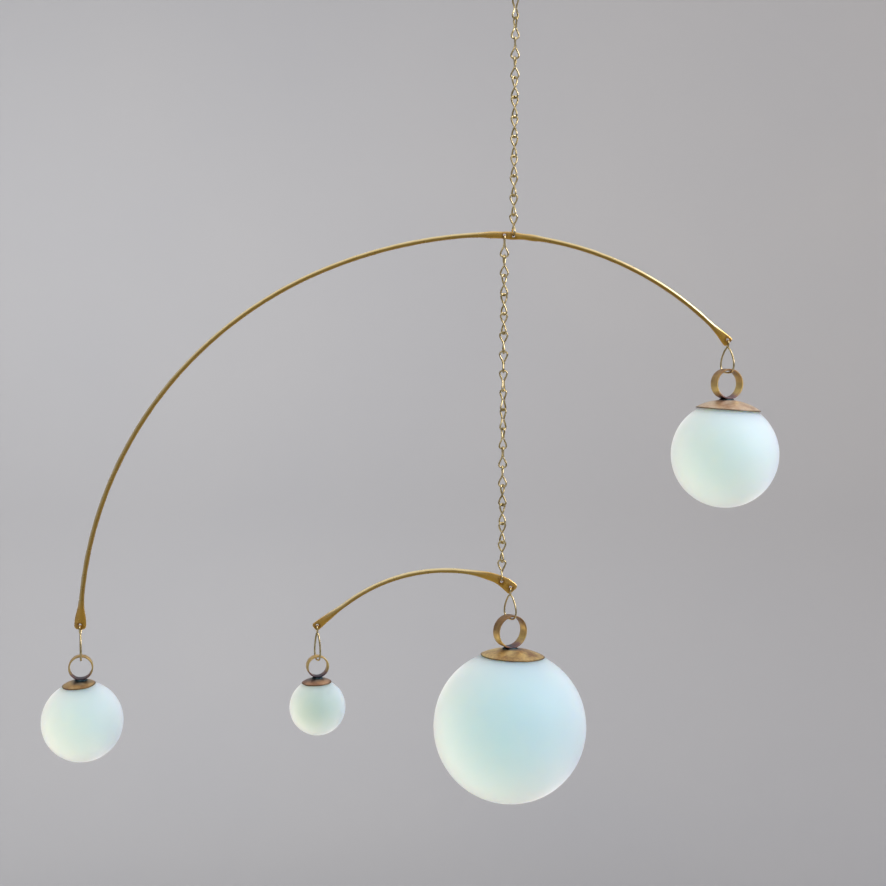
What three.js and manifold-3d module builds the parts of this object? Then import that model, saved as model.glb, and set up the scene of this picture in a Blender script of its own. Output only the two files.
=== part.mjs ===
// A hanging mobile: two hammered brass arms, brass jack chain and four frosted glass balls.
// Millimetres, +Z up, +X to the viewer's right, the arms in the plane Y = 0.
// The origin is the point inside the top ring where a ceiling hook bears.
import * as THREE from 'three';
import { mergeVertices } from 'three/addons/utils/BufferGeometryUtils.js';
import Module from 'manifold-3d';

// Gaps kept between pieces that rest on each other
const restGap = 0.3;
const holeGap = 0.5;

// Top ring
const topRingInside = 12;
const topRingWire = 2;

// Jack chain: each link is a wire with two loops, a quarter turn apart
const chainWire = 1.2;
const chainPitch = 12.7;
const chainLoopWidth = 5.9;
const chainLoopPinch = 2;
const linkTwistStart = 0.34;
const linkTwistEnd = 0.66;
const upperLinkCount = 13;
const lowerLinkCount = 18;

// How far the chains are turned about the vertical, in degrees. The arm's hole holds the upper
// chain's lowest link nearly square to the arm. The links over it turn on a little, then stand alike,
// and the highest ones turn on and on.
const upperChainFirstTurn = 15;
const upperChainNextTurn = 6;
const upperChainSteadyTurn = 33;
const upperChainSteadyLinks = 6;
const upperChainFurtherTurn = 20;
const lowerChainTurn = -270;

// Arms: a round rod whose ends are hammered flat, bent in three arcs from the left hole to the
// right one. The heading is the slope at the left hole, and each bend turns it downwards.
const drillDiameter = 2.4;
const seatClearance = 1.4;
const bladeTaper = 1.3;
const upperArmLeftRadius = 266;
const upperArmCrownRadius = 310;
const upperArmRightRadius = 213;
const upperArm = {
  rod: 3.2,
  heading: 88.3,
  bends: [
    { radius: upperArmLeftRadius, turn: 65.1 },
    { radius: upperArmCrownRadius, turn: 17.1 },
    { radius: upperArmRightRadius, turn: 53.3 },
  ],
  leftBlade: { width: 8.3, length: 25, beyondHole: 2.6, corner: 2.4 },
  rightBlade: { width: 7, length: 20, beyondHole: 2.6, corner: 1.2 },
  chainHoleFromRight: 160.3,
  secondHoleSpacing: 5.9,
  seatLength: 62,
};
const lowerArmLeftRadius = 348;
const lowerArmCrownRadius = 110;
const lowerArmRightRadius = 33.6;
const lowerArm = {
  rod: 3.2,
  heading: 39.7,
  bends: [
    { radius: lowerArmLeftRadius, turn: 4.9 },
    { radius: lowerArmCrownRadius, turn: 50.2 },
    { radius: lowerArmRightRadius, turn: 26.4 },
  ],
  leftBlade: { width: 6.6, length: 25, beyondHole: 2.7, corner: 1.6 },
  rightBlade: { width: 7.2, length: 33, beyondHole: 3, corner: 1.4 },
  chainHoleFromRight: 7.3,
};

// Hanging wires: a small loop through the blade and a long one round the band ring. The long loop of
// a twisted wire stands a few degrees off the band ring's axis.
const hangerWire = 1.2;
const hangerTopLoop = 5.4;
const hangerTopWidth = 5.4;
const hangerPinch = 1;
const hangerRoundness = 0.55;
const hangerSkew = 10;
const untwistedShare = 0.5;

// Caps and band rings
const capWall = 0.7;
const bandWall = 1;

// Balls, each with its hanging wire, band ring and cap. Turns, leans and nods are in degrees.
const bigBall = {
  radius: 51.25,
  sides: 20,
  rows: 12,
  hanger: { length: 20, width: 12.4, twisted: true },
  band: { outside: 22.2, width: 7.4, turn: 29 },
  cap: { width: 43, rise: 4.8, lean: 2.1, nod: -2.5 },
};
const rightBall = {
  radius: 35.4,
  sides: 18,
  rows: 11,
  hanger: { length: 21, width: 12.8, twisted: true },
  band: { outside: 20.1, width: 7.4, turn: 23 },
  cap: { width: 42.4, rise: 6.1, lean: 3.5, nod: -1 },
};
const leftBall = {
  radius: 27.15,
  sides: 16,
  rows: 10,
  hanger: { length: 23.3, width: 9.6, twisted: false },
  band: { outside: 16.4, width: 6, turn: 5 },
  cap: { width: 21.8, rise: 3, lean: -3.5, nod: 4.4 },
};
const smallBall = {
  radius: 18.8,
  sides: 14,
  rows: 8,
  hanger: { length: 22.2, width: 9, twisted: false },
  band: { outside: 14.8, width: 5.4, turn: 16 },
  cap: { width: 19.6, rise: 3, lean: -2, nod: 1 },
};

// How finely the round forms are faceted
const ringWireSides = 8;
const ringSides = 18;
const wireSides = 5;
const linkSteps = 14;
const hangerSteps = 26;
const armSides = 8;
const armStep = 18;
const bladeStep = 4;
const cornerShares = [0.1, 0.4, 1];
const drillSides = 10;
const capSides = 18;
const capRows = 3;
const bandSides = 20;

// How finely the place of a band ring in its wire's loop is looked for
const seatSamples = 400;
const seatStep = 0.05;

const brass = { color: 0xc9a24a, metalness: 1, roughness: 0.28 };
const paleBrass = { color: 0xd8c07c, metalness: 1, roughness: 0.25 };
const agedBrass = { color: 0x9a7a4e, metalness: 1, roughness: 0.5 };
const frostedGlass = { color: 0xc4dcd8, metalness: 0, roughness: 0.6 };

const wasm = await Module();
wasm.setup();

const mobile = new THREE.Group();
const yAxis = new THREE.Vector3(0, 1, 0);
const zAxis = new THREE.Vector3(0, 0, 1);
const radians = THREE.MathUtils.degToRad;

// Shared vertices only, so that each body is closed
function closed(geometry) {
  const bare = geometry.clone();
  bare.deleteAttribute('normal');
  bare.deleteAttribute('uv');
  return mergeVertices(bare);
}

function addPiece(name, geometry, finish, place = new THREE.Vector3()) {
  const piece = new THREE.Mesh(closed(geometry), new THREE.MeshStandardMaterial(finish));
  piece.name = name;
  piece.position.copy(place);
  mobile.add(piece);
  return piece;
}

function toManifold(geometry) {
  const shared = closed(geometry);
  return new wasm.Manifold(new wasm.Mesh({
    numProp: 3,
    vertProperties: new Float32Array(shared.attributes.position.array),
    triVerts: new Uint32Array(shared.index.array),
  }));
}

function fromManifold(solid) {
  const mesh = solid.getMesh();
  const geometry = new THREE.BufferGeometry();
  geometry.setAttribute('position', new THREE.BufferAttribute(mesh.vertProperties, 3));
  geometry.setIndex(new THREE.BufferAttribute(mesh.triVerts, 1));
  return geometry;
}

// Wire links

// A closed wire of two loops, hung from its upper end at z = 0. Its two strands stay opposite each
// other, pass side by side at the waist, and turn from the upper loop's plane to the lower one's.
class TwoLoopWire extends THREE.Curve {
  constructor(form) {
    super();
    this.form = form;
  }

  getPoint(t, target = new THREE.Vector3()) {
    const form = this.form;
    const side = t < 0.5 ? 1 : -1;
    const along = t < 0.5 ? 4 * t : 4 - 4 * t;
    const inUpper = along < 1;
    const opening = Math.PI * (inUpper ? 1 - along : along - 1);
    const fromWaist = (1 - Math.cos(opening)) / 2;
    const half = inUpper ? form.upperHalf : form.lowerHalf;
    const round = inUpper ? 1 : form.roundness;
    const swell = Math.sin(opening) ** round * Math.sin(opening / 2) ** form.pinch;
    const waist = form.waistHalf * Math.cos(opening / 2) ** 2;
    const reach = half * swell / fullest(form.pinch, round) + waist;
    const rise = inUpper ? form.upperLength * fromWaist : -form.lowerLength * fromWaist;
    const height = rise - form.upperLength;
    const turned = THREE.MathUtils.smoothstep(-height, form.twistFrom, form.twistTo);
    const angle = radians(THREE.MathUtils.lerp(form.upperAngle, form.lowerAngle, turned));
    return target.set(side * reach * Math.cos(angle), side * reach * Math.sin(angle), height);
  }
}

// The largest value of sin(a) ^ round * sin(a / 2) ^ pinch, which brings a loop to its stated width
function fullest(pinch, round) {
  const total = 2 * round + pinch;
  const sineShare = ((round + pinch) / total) ** ((round + pinch) / 2);
  const cosineShare = (round / total) ** (round / 2);
  return 2 ** round * sineShare * cosineShare;
}

function wireGeometry(form, wire, steps) {
  return new THREE.TubeGeometry(new TwoLoopWire(form), steps, wire / 2, wireSides, true);
}

// Chains

const chainLength = chainPitch + chainWire + restGap;

function chainLinkForm(lowerAngle) {
  return {
    upperLength: chainLength / 2,
    lowerLength: chainLength / 2,
    upperHalf: (chainLoopWidth - chainWire) / 2,
    lowerHalf: (chainLoopWidth - chainWire) / 2,
    waistHalf: (chainWire + restGap) / 2,
    pinch: chainLoopPinch,
    roundness: 1,
    upperAngle: lowerAngle - 90,
    lowerAngle,
    twistFrom: chainLength * linkTwistStart,
    twistTo: chainLength * linkTwistEnd,
  };
}

// Hangs a chain whose first link's upper end has its wire's middle at top. Returns the same point
// of the last link's lower end.
function hangChain(name, count, top, angleOf) {
  for (let index = 0; index < count; index += 1) {
    const place = top.clone().addScaledVector(zAxis, -index * chainPitch);
    const form = chainLinkForm(angleOf(index));
    const number = String(index + 1).padStart(2, '0');
    addPiece(`${name}_link_${number}`, wireGeometry(form, chainWire, linkSteps), paleBrass, place);
  }
  return top.clone().addScaledVector(zAxis, -(count - 1) * chainPitch - chainLength);
}

function upperChainAngle(index) {
  const linksBelow = upperLinkCount - 1 - index;
  const held = Math.min(upperChainFirstTurn + linksBelow * upperChainNextTurn, upperChainSteadyTurn);
  const turning = Math.max(0, linksBelow - upperChainSteadyLinks);
  return 90 + held + turning * upperChainFurtherTurn;
}

function lowerChainAngle(index) {
  return index / (lowerLinkCount - 1) * lowerChainTurn;
}

// Arms

// The arm's middle line as arcs that run on into each other, its left hole at zero
function bentLine(arm) {
  const arcs = [];
  let heading = radians(arm.heading);
  let point = new THREE.Vector2(0, 0);
  let start = 0;
  for (const bend of arm.bends) {
    const turn = radians(bend.turn);
    arcs.push({ start, radius: bend.radius, heading, point });
    point = arcPoint(arcs.at(-1), bend.radius * turn);
    heading -= turn;
    start += bend.radius * turn;
  }
  return { arcs, length: start };
}

function arcPoint(arc, distance) {
  const heading = arc.heading - distance / arc.radius;
  const across = arc.radius * (Math.sin(arc.heading) - Math.sin(heading));
  const up = arc.radius * (Math.cos(heading) - Math.cos(arc.heading));
  return new THREE.Vector2(arc.point.x + across, arc.point.y + up);
}

function lineAt(line, distance) {
  const arc = line.arcs.findLast((one) => one.start <= distance) ?? line.arcs[0];
  const heading = arc.heading - (distance - arc.start) / arc.radius;
  const point = arcPoint(arc, distance - arc.start);
  return { point: new THREE.Vector3(point.x, 0, point.y), heading };
}

// The upper arm is hammered flatter where the chains' loops go round it
const seatThickness = chainLoopWidth - 2 * chainWire - seatClearance;

// Hammering widens the rod in the arm's plane
function bladeSpread(blade, rod, fromEnd) {
  const left = 1 - THREE.MathUtils.smoothstep(fromEnd, 0, blade.length);
  return (blade.width - rod) * left ** bladeTaper;
}

function armWidth(arm, line, distance) {
  const fromLeft = distance + arm.leftBlade.beyondHole;
  const fromRight = line.length + arm.rightBlade.beyondHole - distance;
  let width = arm.rod + bladeSpread(arm.leftBlade, arm.rod, fromLeft);
  width += bladeSpread(arm.rightBlade, arm.rod, fromRight);
  if (arm.seatLength) {
    const seatWidth = arm.rod ** 2 / seatThickness;
    const seatMiddle = line.length - arm.chainHoleFromRight - arm.secondHoleSpacing / 2;
    const fromSeat = Math.abs(distance - seatMiddle);
    const spread = 1 - THREE.MathUtils.smoothstep(fromSeat, 0, arm.seatLength / 2);
    width += (seatWidth - arm.rod) * spread;
  }
  return width;
}

// A blade's end is rounded at its corners
function tipShare(blade, fromEnd) {
  const inside = THREE.MathUtils.clamp(1 - fromEnd / blade.corner, 0, 1);
  return 1 - 2 * blade.corner / blade.width * (1 - Math.sqrt(1 - inside ** 2));
}

// Where the sections of an arm stand: close together along the blades and their corners
function armStations(arm, line) {
  const left = -arm.leftBlade.beyondHole;
  const right = line.length + arm.rightBlade.beyondHole;
  const stations = [left, right];
  for (const share of cornerShares) {
    stations.push(left + share * arm.leftBlade.corner);
    stations.push(right - share * arm.rightBlade.corner);
  }
  const leftEnd = left + arm.leftBlade.length;
  const rightEnd = right - arm.rightBlade.length;
  addEvenly(stations, left + arm.leftBlade.corner, leftEnd, bladeStep);
  addEvenly(stations, leftEnd, rightEnd, armStep);
  addEvenly(stations, rightEnd, right - arm.rightBlade.corner, bladeStep);
  stations.push(leftEnd, rightEnd);
  return [...new Set(stations)].sort((a, b) => a - b);
}

function addEvenly(stations, from, to, step) {
  const count = Math.round((to - from) / step);
  for (let index = 1; index < count; index += 1) {
    stations.push(THREE.MathUtils.lerp(from, to, index / count));
  }
}

// A straight eight-sided rod, bent along the arm's line and flattened section by section
function armGeometry(arm, line) {
  const stations = armStations(arm, line);
  const rows = stations.length - 1;
  const rod = new THREE.CylinderGeometry(1, 1, rows, armSides, rows, false, Math.PI / armSides);
  const places = rod.attributes.position;
  const acrossFlats = Math.cos(Math.PI / armSides);
  for (let index = 0; index < places.count; index += 1) {
    const distance = stations[Math.round(places.getY(index) + rows / 2)];
    const { point, heading } = lineAt(line, distance);
    const width = armWidth(arm, line, distance);
    const thickness = arm.rod ** 2 / width;
    const fromLeft = distance + arm.leftBlade.beyondHole;
    const fromRight = line.length + arm.rightBlade.beyondHole - distance;
    const share = tipShare(arm.leftBlade, fromLeft) * tipShare(arm.rightBlade, fromRight);
    const out = places.getX(index) / acrossFlats * width / 2 * share;
    const back = places.getZ(index) / acrossFlats * thickness / 2;
    point.x -= out * Math.sin(heading);
    point.z += out * Math.cos(heading);
    places.setXYZ(index, point.x, back, point.z);
  }
  return rod;
}

// Long enough to pass right through an arm
const drillReach = 2 * upperArm.rod;

function drilled(geometry, points) {
  let solid = toManifold(geometry);
  for (const point of points) {
    const radius = drillDiameter / 2;
    const drill = new THREE.CylinderGeometry(radius, radius, drillReach, drillSides);
    drill.translate(point.x, point.y, point.z);
    solid = solid.subtract(toManifold(drill));
  }
  return fromManifold(solid);
}

// Puts an arm's chain hole at the given point and returns where its other holes then are
function hangArm(name, arm, hung) {
  const line = bentLine(arm);
  const chainHole = line.length - arm.chainHoleFromRight;
  const shift = hung.clone().sub(lineAt(line, chainHole).point);
  const distances = [0, line.length, chainHole];
  if (arm.secondHoleSpacing) {
    distances.push(chainHole - arm.secondHoleSpacing);
  }
  const holes = distances.map((distance) => lineAt(line, distance).point);
  addPiece(name, drilled(armGeometry(arm, line), holes), brass, shift);
  const [left, right, , second] = holes.map((hole) => hole.clone().add(shift));
  return { left, right, second };
}

// How far above a hole's middle the wire that bears on its edge runs, with a gap kept
function bearing(wire) {
  return (drillDiameter - wire) / 2 - holeGap;
}

// Balls

function skewOf(hanger) {
  return hanger.twisted ? hangerSkew : 0;
}

function hangerForm(ball) {
  const { hanger, band } = ball;
  const lowerLength = hanger.length - hangerTopLoop;
  return {
    upperLength: hangerTopLoop,
    lowerLength,
    upperHalf: (hangerTopWidth - hangerWire) / 2,
    lowerHalf: (hanger.width - hangerWire) / 2,
    waistHalf: (hangerWire + restGap) / 2,
    pinch: hangerPinch,
    roundness: hangerRoundness,
    upperAngle: hanger.twisted ? 270 : 90,
    lowerAngle: 90 + band.turn + skewOf(hanger),
    twistFrom: hangerTopLoop,
    twistTo: hanger.length - lowerLength * untwistedShare,
  };
}

// The strip of a band ring settles between the strands until its edges meet them: the least height
// of its inner face over the wire's lowest middle point at which its corners keep the gap
function bandSeat(form, band, skew) {
  const wire = new TwoLoopWire({ ...form, upperAngle: 0, lowerAngle: 0 });
  const low = -form.upperLength - form.lowerLength;
  const corner = new THREE.Vector3(band.width / 2 / Math.cos(radians(skew)), 0, 0);
  const strand = wire.getPoints(seatSamples).filter((point) => point.x >= 0);
  const clear = (height) => {
    corner.z = low + height;
    return strand.every((point) => point.distanceTo(corner) >= hangerWire / 2 + restGap);
  };
  let height = hangerWire / 2 + restGap;
  while (!clear(height) && height < form.lowerLength / 2) {
    height += seatStep;
  }
  return height;
}

function capGeometry(cap) {
  const dome = (cap.width ** 2 / 4 + cap.rise ** 2) / (2 * cap.rise);
  const rimAngle = Math.asin(cap.width / 2 / dome);
  const profile = [];
  for (const [radius, from, to] of [[dome - capWall, 0, rimAngle], [dome, rimAngle, 0]]) {
    for (let step = 0; step <= capRows; step += 1) {
      const angle = THREE.MathUtils.lerp(from, to, step / capRows);
      const height = cap.rise - dome + radius * Math.cos(angle);
      profile.push(new THREE.Vector2(radius * Math.sin(angle), height));
    }
  }
  const geometry = new THREE.LatheGeometry(profile, capSides);
  geometry.rotateX(Math.PI / 2);
  return { geometry, dome, rimAngle };
}

// How far over the ball's middle the cap's rim stands, with the cap resting on the ball at its rim
// or at its crown, whichever meets the ball first
function capLift(ball, dome, rimAngle) {
  const clear = ball.radius + restGap;
  const inner = dome - capWall;
  const rimOut = inner * Math.sin(rimAngle);
  const rimUp = ball.cap.rise - dome + inner * Math.cos(rimAngle);
  const atRim = Math.sqrt(Math.max(0, clear ** 2 - rimOut ** 2)) - rimUp;
  const atCrown = clear - (ball.cap.rise - capWall);
  return Math.max(atRim, atCrown);
}

function bandGeometry(band) {
  const outer = band.outside / 2;
  const inner = outer - bandWall;
  const profile = [
    new THREE.Vector2(inner, -band.width / 2),
    new THREE.Vector2(outer, -band.width / 2),
    new THREE.Vector2(outer, band.width / 2),
    new THREE.Vector2(inner, band.width / 2),
    new THREE.Vector2(inner, -band.width / 2),
  ];
  return new THREE.LatheGeometry(profile, bandSides);
}

// A ball with its wire, band ring and cap, all hung from a hole of an arm. Ball and cap lean and
// nod together, about the ball's middle, so that the cap's crown stays under the band ring.
function hangBall(name, ball, hole) {
  const top = hole.clone().addScaledVector(zAxis, -bearing(hangerWire));
  const form = hangerForm(ball);
  addPiece(`${name}_hanging_wire`, wireGeometry(form, hangerWire, hangerSteps), paleBrass, top);

  const bandTop = top.z - ball.hanger.length + bandSeat(form, ball.band, skewOf(ball.hanger)) + bandWall;
  const bandMiddle = new THREE.Vector3(hole.x, 0, bandTop - ball.band.outside / 2);
  const bandRing = addPiece(`${name}_band_ring`, bandGeometry(ball.band), agedBrass, bandMiddle);
  bandRing.setRotationFromAxisAngle(zAxis, radians(ball.band.turn));

  const { geometry, dome, rimAngle } = capGeometry(ball.cap);
  const lift = capLift(ball, dome, rimAngle);
  const bandFoot = bandTop - ball.band.outside;
  const crown = lift + ball.cap.rise;
  const behind = crown * Math.sin(radians(ball.cap.nod));
  const middle = new THREE.Vector3(hole.x, behind, bandFoot - restGap - crown);
  geometry.translate(0, 0, lift);
  const cap = addPiece(`${name}_cap`, geometry, agedBrass, middle);
  cap.setRotationFromAxisAngle(yAxis, radians(ball.cap.lean));
  cap.rotateX(radians(ball.cap.nod));

  const glass = new THREE.SphereGeometry(ball.radius, ball.sides, ball.rows);
  glass.rotateX(Math.PI / 2);
  addPiece(name, glass, frostedGlass, middle);
}

// The mobile, from the top down

const topRingMiddle = new THREE.Vector3(0, 0, -topRingInside / 2);
const topRingRadius = (topRingInside + topRingWire) / 2;
const topRing = new THREE.TorusGeometry(topRingRadius, topRingWire / 2, ringWireSides, ringSides);
topRing.rotateX(Math.PI / 2);
topRing.rotateZ(radians(upperChainAngle(0)));
addPiece('top_ring', topRing, brass, topRingMiddle);

const firstLinkTop = new THREE.Vector3(0, 0, -topRingInside + restGap + chainWire / 2);
const upperChainEnd = hangChain('upper_chain', upperLinkCount, firstLinkTop, upperChainAngle);

const upperHung = upperChainEnd.clone().addScaledVector(zAxis, -bearing(chainWire));
const upperHoles = hangArm('upper_arm', upperArm, upperHung);

const secondTop = upperHoles.second.clone().addScaledVector(zAxis, -bearing(chainWire));
const lowerChainEnd = hangChain('lower_chain', lowerLinkCount, secondTop, lowerChainAngle);

const lowerHung = lowerChainEnd.clone().addScaledVector(zAxis, -bearing(chainWire));
const lowerHoles = hangArm('lower_arm', lowerArm, lowerHung);

hangBall('left_ball', leftBall, upperHoles.left);
hangBall('right_ball', rightBall, upperHoles.right);
hangBall('small_ball', smallBall, lowerHoles.left);
hangBall('big_ball', bigBall, lowerHoles.right);

export default mobile;
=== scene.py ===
"""A hanging mobile: two hammered brass arms on jack chain, and four frosted glass balls."""

import math
import random

import bmesh
import bpy
import numpy as np
from mathutils import Matrix, Vector


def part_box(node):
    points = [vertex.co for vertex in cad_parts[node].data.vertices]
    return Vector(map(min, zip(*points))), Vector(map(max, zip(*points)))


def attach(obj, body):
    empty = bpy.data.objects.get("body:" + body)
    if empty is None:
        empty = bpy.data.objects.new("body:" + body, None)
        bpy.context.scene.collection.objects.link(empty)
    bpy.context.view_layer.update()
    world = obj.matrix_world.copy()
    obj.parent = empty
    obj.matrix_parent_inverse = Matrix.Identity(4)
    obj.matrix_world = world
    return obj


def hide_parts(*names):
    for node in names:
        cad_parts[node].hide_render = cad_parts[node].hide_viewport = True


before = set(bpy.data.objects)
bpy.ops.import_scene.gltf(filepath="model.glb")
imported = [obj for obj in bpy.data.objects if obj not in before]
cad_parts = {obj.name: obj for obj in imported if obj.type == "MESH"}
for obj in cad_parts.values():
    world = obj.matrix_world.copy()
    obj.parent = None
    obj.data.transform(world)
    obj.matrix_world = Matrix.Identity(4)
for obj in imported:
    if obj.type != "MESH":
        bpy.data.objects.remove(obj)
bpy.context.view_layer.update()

MM = 0.001


# The view
# The mobile hangs a little under eye level and is seen square on, from about a metre in front of
# its arms. The lens is a short telephoto, so that plumb lines stay plumb.

VIEW_PLACE_MM = (-45.6, -927.3, -249.7)
VIEW_TILT_DOWN = 4.0
VIEW_ROLL = 0.3
LENS_MM = 56.88
SENSOR_MM = 36.0
VIEW_REACH = 20.0

view_data = bpy.data.cameras.new("view")
view_data.lens = LENS_MM
view_data.sensor_width = SENSOR_MM
view_data.clip_end = VIEW_REACH
view = bpy.data.objects.new("view", view_data)
bpy.context.scene.collection.objects.link(view)
view.rotation_mode = "QUATERNION"
tilt = Matrix.Rotation(math.radians(90 - VIEW_TILT_DOWN), 4, "X")
roll = Matrix.Rotation(math.radians(VIEW_ROLL), 4, "Z")
view.rotation_quaternion = (tilt @ roll).to_quaternion()
view.location = Vector(VIEW_PLACE_MM) * MM
bpy.context.scene.camera = view
bpy.context.scene.view_settings.view_transform = "Standard"


# The studio
# A round cove of matt pale grey: a floor that curves up into a wall, open at the top. A tall window's
# light comes from up on the right and a weaker, warmer one from low on the left. Two more lamps light
# the wall behind and, faintly, the lower edges of the balls. Its sizes are in metres.

COVE_RADIUS = 2.6
COVE_BEND = 0.7
COVE_FLOOR = -1.35
COVE_TOP = 1.3
COVE_MIDDLE = (-0.05, 0.0)
COVE_SIDES = 96
COVE_BEND_STEPS = 14
AIR_STRENGTH = 0.84
# A colour Mix node's sockets, which share their names with those of its other kinds
MIX_FIRST = 6
MIX_SECOND = 7
MIX_RESULT = 2


def colour(hexa):
    """A linear colour from an sRGB hex value."""
    channels = [int(hexa[i:i + 2], 16) / 255 for i in (1, 3, 5)]
    linear = [c / 12.92 if c <= 0.04045 else ((c + 0.055) / 1.055) ** 2.4 for c in channels]
    return (*linear, 1.0)


def cells(size_mm):
    """A pattern's scale on Object coordinates, from the size of what it draws."""
    return 1 / (size_mm * MM)


def add_node(tree, kind, settings=None, inputs=None):
    """Adds a node; each input is a plain value or another node's output."""
    node = tree.nodes.new(kind)
    for name, value in (settings or {}).items():
        setattr(node, name, value)
    for name, value in (inputs or {}).items():
        if isinstance(value, bpy.types.NodeSocket):
            tree.links.new(value, node.inputs[name])
        else:
            node.inputs[name].default_value = value
    return node


def new_material(name):
    """A material's name, its empty tree and its principled shader, which is joined to the output."""
    material = bpy.data.materials.new(name)
    material.use_nodes = True
    tree = material.node_tree
    tree.nodes.clear()
    shader = add_node(tree, "ShaderNodeBsdfPrincipled")
    add_node(tree, "ShaderNodeOutputMaterial", inputs={"Surface": shader.outputs["BSDF"]})
    return material, tree, shader


def mesh_from(name, points_mm, faces, material):
    """A smooth-shaded object whose place is in its mesh."""
    mesh = bpy.data.meshes.new(name)
    mesh.from_pydata([tuple(p) for p in np.asarray(points_mm) * MM], [], faces)
    mesh.update()
    for polygon in mesh.polygons:
        polygon.use_smooth = True
    mesh.materials.append(material)
    piece = bpy.data.objects.new(name, mesh)
    bpy.context.scene.collection.objects.link(piece)
    return piece


def face_outwards(piece, sharp_over=None):
    """Turns the faces of a closed mesh outwards and marks its hard edges sharp."""
    body = bmesh.new()
    body.from_mesh(piece.data)
    bmesh.ops.recalc_face_normals(body, faces=body.faces)
    if sharp_over is not None:
        for edge in body.edges:
            edge.smooth = edge.calc_face_angle(0.0) < math.radians(sharp_over)
    body.to_mesh(piece.data)
    body.free()


# Painted board, matt: no gloss, and faintly uneven in patches of nearly half a metre
BOARD_PATCH_MM = 454.5

board, tree, shader = new_material("matt painted board")
place = add_node(tree, "ShaderNodeTexCoord").outputs["Object"]
patches = add_node(tree, "ShaderNodeTexNoise", inputs={
    "Vector": place, "Scale": cells(BOARD_PATCH_MM), "Detail": 2.0})
tint = add_node(tree, "ShaderNodeMix", {"data_type": "RGBA"}, {
    "Factor": patches.outputs["Fac"], MIX_FIRST: colour("#b1b1b2"), MIX_SECOND: colour("#b6b5b4")})
tree.links.new(tint.outputs[MIX_RESULT], shader.inputs["Base Color"])
shader.inputs["Roughness"].default_value = 0.9
shader.inputs["Specular IOR Level"].default_value = 0.1

profile = [(0.0, COVE_FLOOR)]
for step in range(COVE_BEND_STEPS + 1):
    angle = math.radians(90) * step / COVE_BEND_STEPS
    out = COVE_RADIUS - COVE_BEND + COVE_BEND * math.sin(angle)
    profile.append((out, COVE_FLOOR + COVE_BEND * (1 - math.cos(angle))))
profile.append((COVE_RADIUS, COVE_TOP))

cove_points = [(COVE_MIDDLE[0], COVE_MIDDLE[1], COVE_FLOOR)]
for out, height in profile[1:]:
    for side in range(COVE_SIDES):
        angle = 2 * math.pi * side / COVE_SIDES
        x = COVE_MIDDLE[0] + out * math.cos(angle)
        y = COVE_MIDDLE[1] + out * math.sin(angle)
        cove_points.append((x, y, height))
cove_faces = []
for side in range(COVE_SIDES):
    after = (side + 1) % COVE_SIDES
    cove_faces.append((0, 1 + side, 1 + after))
    for row in range(len(profile) - 2):
        low, high = 1 + row * COVE_SIDES, 1 + (row + 1) * COVE_SIDES
        cove_faces.append((low + side, high + side, high + after, low + after))
cove = mesh_from("studio_cove", np.array(cove_points) / MM, cove_faces, board)

MOBILE_MIDDLE = (-0.07, 0.0, -0.3)
LOWER_BALLS = (0.05, 0.0, -0.48)
WALL_BEHIND = (-0.62, 2.4, -0.45)

# Soft boxes: places and sizes in metres, power in watts, spread in degrees
lamps = {
    "window_lamp": {"place": (1.95, -0.7, 0.95), "aim": MOBILE_MIDDLE, "size": (1.3, 1.7),
                    "watts": 48, "colour": "#f4f3ff", "spread": 180},
    "low_lamp": {"place": (-1.15, -1.5, -1.15), "aim": LOWER_BALLS, "size": (0.8, 0.8),
                 "watts": 6, "colour": "#ffeed8", "spread": 60},
    "wall_lamp": {"place": (-1.1, 0.4, 0.35), "aim": WALL_BEHIND, "size": (0.9, 0.9),
                  "watts": 9, "colour": "#ffffff", "spread": 100},
    "edge_lamp": {"place": (-1.1, 0.45, -1.1), "aim": LOWER_BALLS, "size": (0.5, 0.5),
                  "watts": 0.12, "colour": "#fff0c8", "spread": 60},
}
for name, given in lamps.items():
    lamp_data = bpy.data.lights.new(name, "AREA")
    lamp_data.shape = "RECTANGLE"
    lamp_data.size, lamp_data.size_y = given["size"]
    lamp_data.energy = given["watts"]
    lamp_data.color = colour(given["colour"])[:3]
    lamp_data.spread = math.radians(given["spread"])
    lamp = bpy.data.objects.new(name, lamp_data)
    bpy.context.scene.collection.objects.link(lamp)
    lamp.location = given["place"]
    lamp.rotation_mode = "QUATERNION"
    lamp.rotation_quaternion = (Vector(given["aim"]) - Vector(given["place"])).to_track_quat("-Z", "Y")
# The flat brass would burn out where it mirrors the low lamp, which is left out of reflections
bpy.data.objects["low_lamp"].visible_glossy = False

world = bpy.data.worlds.new("studio air")
world.use_nodes = True
world.node_tree.nodes.clear()
air = add_node(world.node_tree, "ShaderNodeBackground",
               inputs={"Color": colour("#f6f6f8"), "Strength": AIR_STRENGTH})
add_node(world.node_tree, "ShaderNodeOutputWorld", inputs={"Surface": air.outputs["Background"]})
bpy.context.scene.world = world


# The top ring
# One turn of 2 mm brass wire, bent round a mandrel and soldered shut. It hangs on the ceiling
# hook and carries the first link of the upper chain.

TOP_RING_INSIDE = 12.0
TOP_RING_WIRE = 2.0
TOP_RING_SIDES = 16
TOP_RING_STEPS = 96

# The ring stands square to the highest link's upper loop. The links' turns are counted from the arm
# up, in degrees: they grow by a little, stay the same for some links and then grow faster
UPPER_LINKS = 13
UPPER_FIRST_TURN = 15.0
UPPER_NEXT_TURN = 6.0
UPPER_STEADY_TURN = 33.0
UPPER_STEADY_LINKS = 6
UPPER_FURTHER_TURN = 20.0


# A path's first normal comes from the y axis, or from the x axis where the path starts nearly along y
NEARLY_ALONG = 0.8


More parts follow.
